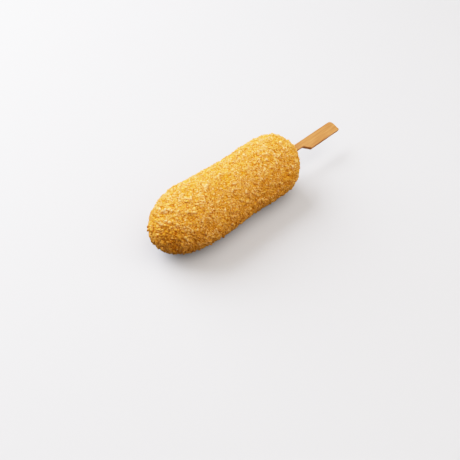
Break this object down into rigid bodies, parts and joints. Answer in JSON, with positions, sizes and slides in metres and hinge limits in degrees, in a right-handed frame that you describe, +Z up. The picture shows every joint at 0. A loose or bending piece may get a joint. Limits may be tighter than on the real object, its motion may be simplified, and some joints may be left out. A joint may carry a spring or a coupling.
{
  "type": "uncooked corn dog",
  "caption": "Plump roll of dough coated all over in coarse bread crumbs, with a faint waist, rounded ends and a stepped flat bamboo stick, lying on its side.",
  "frame": {"origin": "on the ground, under the middle of the whole piece's box", "axes": "+X along the roll, from its free tip to the stick's handle; +Z up from the ground; the stick's flat face leans towards -Y"},
  "size_m": [0.1788, 0.0464, 0.0444],
  "materials": {
    "crumb_coating": "dry raw bread crumbs, pale golden yellow, rough and matte",
    "bamboo": "bare smooth bamboo with fine fibres along it"
  },
  "bodies": {
    "root": {"crumbed_roll": "crumb_coating", "stick": "bamboo"}
  },
  "joints": []
}
